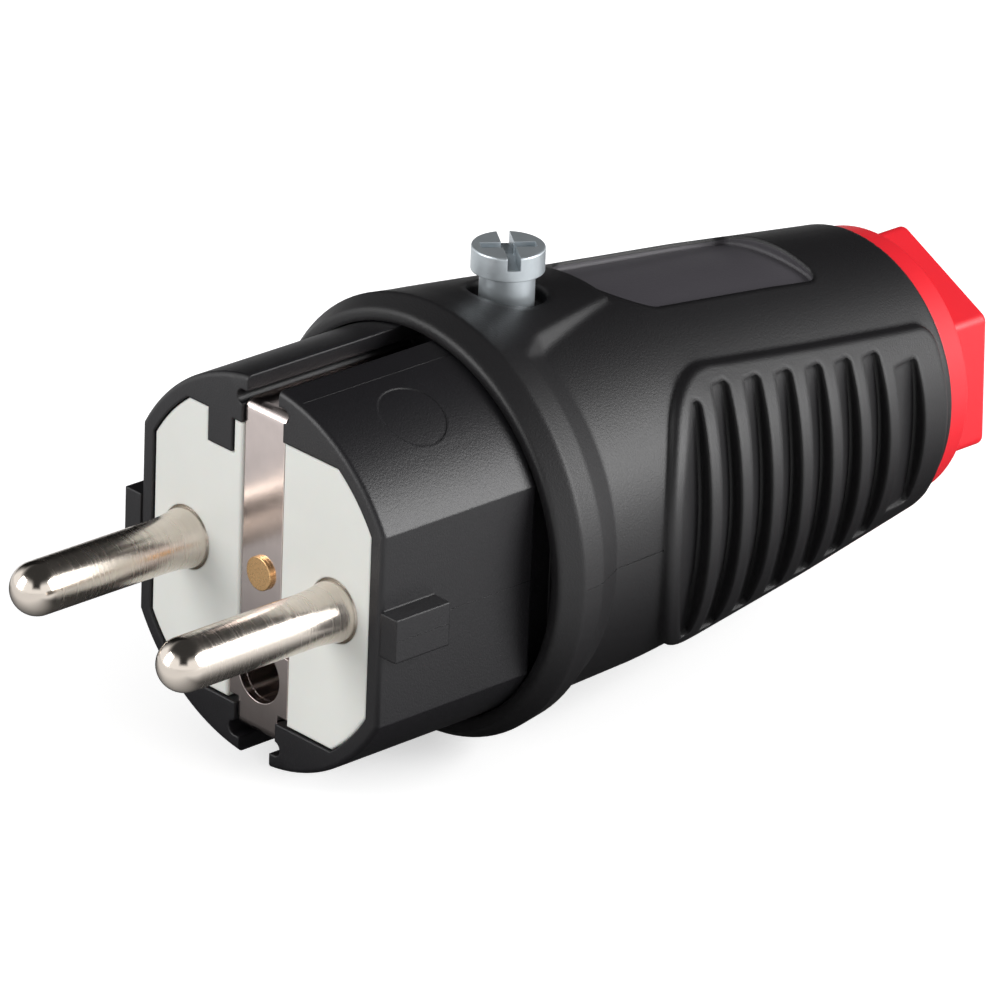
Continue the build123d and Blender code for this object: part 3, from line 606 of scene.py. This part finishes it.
class PLUG_OT_gland(bpy.types.Operator):
    """Finish the gland nut, the thrust ring and the rubber seal"""

    bl_idname = "plug.gland"
    bl_label = "Gland"

    def execute(self, context):
        colours, sizes = context.scene.plug_colours, context.scene.plug_sizes
        red = moulded_smooth("polyamide_nut_red", tuple(colours.nut), 0.4, sizes.soft_edge, subsurface=0.05)
        grey = moulded_smooth("polyamide_ring_grey", tuple(colours.ring), 0.45, sizes.soft_edge)
        rubber = moulded_black("rubber_seal_moulded", tuple(colours.rubber), 0.3, 0.62, sizes.soft_edge)
        threaded_nut(red)
        dress(["thrust_ring"], grey)
        dress(["gland_seal"], rubber)
        return {"FINISHED"}


def facing(place, target):
    """Turn that points an object's -Z at a target and keeps its Y upright."""
    return (Vector(target) - Vector(place)).to_track_quat("-Z", "Y").to_euler()


def area_light(name, place, target, size, power):
    """Soft box at a place, facing a target, in metres and watts."""
    data = bpy.data.lights.new(name, "AREA")
    data.shape = "RECTANGLE"
    data.size, data.size_y = size
    data.energy = power
    lamp = bpy.data.objects.new(name, data)
    lamp.location = place
    lamp.rotation_euler = facing(place, target)
    bpy.context.scene.collection.objects.link(lamp)


def grey_flag(name, place, target, size, level):
    """Dark card with a faded border that only reflections see, a painted dark reflection for glossy surfaces to
    show.
    """
    half_width, half_height = size[0] / 2, size[1] / 2
    mesh = bpy.data.meshes.new(name)
    corners = [(x * half_width, y * half_height, 0) for x, y in ((-1, -1), (1, -1), (1, 1), (-1, 1))]
    mesh.from_pydata(corners, [], [(0, 1, 2, 3)])
    flag = bpy.data.objects.new(name, mesh)
    flag.location = place
    flag.rotation_euler = facing(place, target)
    for ray in ("camera", "diffuse", "transmission", "volume_scatter", "shadow"):
        setattr(flag, f"visible_{ray}", False)
    material = bpy.data.materials.new(f"card_{name}")
    material.use_nodes = True
    tree = material.node_tree
    tree.nodes.clear()
    on_card = add_node(tree, "ShaderNodeTexCoord").outputs["Object"]
    shares = add_node(
        tree, "ShaderNodeVectorMath", {0: on_card, 1: (half_width, half_height, 1)}, operation="DIVIDE"
    )
    away = add_node(tree, "ShaderNodeVectorMath", {0: shares.outputs["Vector"]}, operation="ABSOLUTE")
    spot = add_node(tree, "ShaderNodeSeparateXYZ", {"Vector": away.outputs["Vector"]})
    out = add_node(tree, "ShaderNodeMath", {0: spot.outputs["X"], 1: spot.outputs["Y"]}, operation="MAXIMUM")
    fade = add_node(
        tree,
        "ShaderNodeMapRange",
        {"Value": out.outputs["Value"], "From Min": 0.4, "From Max": 1.0, "To Min": 1.0, "To Max": 0.0},
        interpolation_type="SMOOTHSTEP",
    )
    card = add_node(tree, "ShaderNodeEmission", {"Color": (1, 1, 1, 1), "Strength": level})
    clear = add_node(tree, "ShaderNodeBsdfTransparent")
    mixed = add_node(
        tree,
        "ShaderNodeMixShader",
        {0: fade.outputs["Result"], 1: clear.outputs["BSDF"], 2: card.outputs["Emission"]},
    )
    add_node(tree, "ShaderNodeOutputMaterial", {"Surface": mixed.outputs["Shader"]})
    mesh.materials.append(material)
    bpy.context.scene.collection.objects.link(flag)


def white_world():
    """World that lights softly and shows as white to the camera, in metal and through glass."""
    world = bpy.data.worlds.new("studio_white")
    world.use_nodes = True
    tree = world.node_tree
    tree.nodes.clear()
    path = add_node(tree, "ShaderNodeLightPath")
    seen = add_node(
        tree,
        "ShaderNodeMath",
        {0: path.outputs["Is Camera Ray"], 1: path.outputs["Is Glossy Ray"]},
        operation="MAXIMUM",
    )
    shown = add_node(
        tree,
        "ShaderNodeMath",
        {0: seen.outputs["Value"], 1: path.outputs["Is Transmission Ray"]},
        operation="MAXIMUM",
    )
    light = add_node(tree, "ShaderNodeBackground", {"Color": (1, 1, 1, 1), "Strength": 0.4})
    white = add_node(tree, "ShaderNodeBackground", {"Color": (1, 1, 1, 1), "Strength": 1.0})
    mixed = add_node(
        tree,
        "ShaderNodeMixShader",
        {0: shown.outputs["Value"], 1: light.outputs["Background"], 2: white.outputs["Background"]},
    )
    add_node(tree, "ShaderNodeOutputWorld", {"Surface": mixed.outputs["Shader"]})
    bpy.context.scene.world = world


def white_floor(height):
    """Large white floor that keeps a soft shadow."""
    mesh = bpy.data.meshes.new("floor")
    reach = 3.0
    corners = [(x * reach, y * reach, height) for x, y in ((-1, -1), (1, -1), (1, 1), (-1, 1))]
    mesh.from_pydata(corners, [], [(0, 1, 2, 3)])
    floor = bpy.data.objects.new("floor", mesh)
    bpy.context.scene.collection.objects.link(floor)
    material = bpy.data.materials.new("paper_floor_white")
    material.use_nodes = True
    tree = material.node_tree
    tree.nodes.clear()
    path = add_node(tree, "ShaderNodeLightPath")
    glow = add_node(
        tree, "ShaderNodeMath", {0: path.outputs["Is Camera Ray"], 1: 0.55}, operation="MULTIPLY"
    )
    paper = add_node(tree, "ShaderNodeBsdfDiffuse", {"Color": linear("#f0f0f0")})
    shine = add_node(tree, "ShaderNodeEmission", {"Color": (1, 1, 1, 1), "Strength": glow.outputs["Value"]})
    both = add_node(tree, "ShaderNodeAddShader", {0: paper.outputs["BSDF"], 1: shine.outputs["Emission"]})
    add_node(tree, "ShaderNodeOutputMaterial", {"Surface": both.outputs["Shader"]})
    mesh.materials.append(material)


class PLUG_OT_stage(bpy.types.Operator):
    """Set up the floor, the lamps and the camera"""

    bl_idname = "plug.stage"
    bl_label = "Stage"

    def execute(self, context):
        scene, stage = context.scene, context.scene.plug_stage
        scene.view_settings.view_transform = "Standard"
        white_world()
        white_floor(CAD_BOX[0][2])
        middle = (0, stage.depth, 0)
        just_above = CAD_BOX[0][2] + 0.02 * MM
        area_light("side_box", (0.6, 0.46, 0.32), middle, (0.46, 0.5), 6.5)
        area_light("front_box", (-0.5, -0.9, 0.45), middle, (0.6, 0.8), 7.0)
        # painted dark reflections: cards that only glossy rays see, for the room overhead, behind and at the
        # front
        grey_flag("ceiling", (0.0, 0.1, 0.9), middle, (3.2, 3.2), 0.04)
        grey_flag("rear_left", (-0.8, 0.9, 0.5), middle, (3.6, 1.9), 0.01)
        grey_flag("room", (0.9, -0.87, 1.0), middle, (1.3, 1.5), 0.03)
        # painted shade: a dark card under the plug that only reflections see, standing in for the floor's shade
        # near the plug
        grey_flag("ground", (-0.02, 0.046, just_above), (-0.02, 0.046, 1), (0.16, 0.2), 0.02)
        azimuth, elevation = stage.azimuth, stage.elevation
        back = Vector(
            (
                math.sin(azimuth) * math.cos(elevation),
                -math.cos(azimuth) * math.cos(elevation),
                math.sin(elevation),
            )
        )
        right = Vector((math.cos(azimuth), math.sin(azimuth), 0))
        up = back.cross(right)
        turned_right = math.cos(stage.roll) * right + math.sin(stage.roll) * up
        turned_up = back.cross(turned_right)
        data = bpy.data.cameras.new("camera")
        data.sensor_width = 36.0
        data.lens = stage.lens
        data.shift_x, data.shift_y = stage.shift
        data.clip_end = 20.0
        camera = bpy.data.objects.new("camera", data)
        turn = Matrix((turned_right, turned_up, back)).transposed().to_4x4()
        camera.matrix_world = Matrix.Translation(Vector(middle) + stage.distance * back) @ turn
        scene.collection.objects.link(camera)
        scene.camera = camera
        return {"FINISHED"}


class PLUG_PT_panel(bpy.types.Panel):
    """Steps of the plug's looks, in order"""

    bl_idname = "PLUG_PT_panel"
    bl_label = "Earthed Mains Plug"
    bl_space_type = "VIEW_3D"
    bl_region_type = "UI"
    bl_category = "Plug"

    def draw(self, context):
        for operator in OPERATORS:
            self.layout.operator(operator.bl_idname)
        for name in GROUPS:
            group = getattr(context.scene, name)
            box = self.layout.box()
            for key in group.bl_rna.properties.keys():
                if key not in ("rna_type", "name"):
                    box.prop(group, key)


OPERATORS = (
    PLUG_OT_mouldings,
    PLUG_OT_carrier,
    PLUG_OT_contacts,
    PLUG_OT_fasteners,
    PLUG_OT_gland,
    PLUG_OT_stage,
)
GROUPS = {"plug_colours": PlugColours, "plug_sizes": PlugSizes, "plug_stage": PlugStage}


def register():
    for group in GROUPS.values():
        bpy.utils.register_class(group)
    for name, group in GROUPS.items():
        setattr(bpy.types.Scene, name, bpy.props.PointerProperty(type=group))
    for operator in OPERATORS:
        bpy.utils.register_class(operator)
    bpy.utils.register_class(PLUG_PT_panel)


def unregister():
    bpy.utils.unregister_class(PLUG_PT_panel)
    for operator in reversed(OPERATORS):
        bpy.utils.unregister_class(operator)
    for name in GROUPS:
        delattr(bpy.types.Scene, name)
    for group in reversed(list(GROUPS.values())):
        bpy.utils.unregister_class(group)


def main():
    register()
    bpy.ops.plug.mouldings()
    bpy.ops.plug.carrier()
    bpy.ops.plug.contacts()
    bpy.ops.plug.fasteners()
    bpy.ops.plug.gland()
    bpy.ops.plug.stage()


if __name__ == "__main__":
    main()
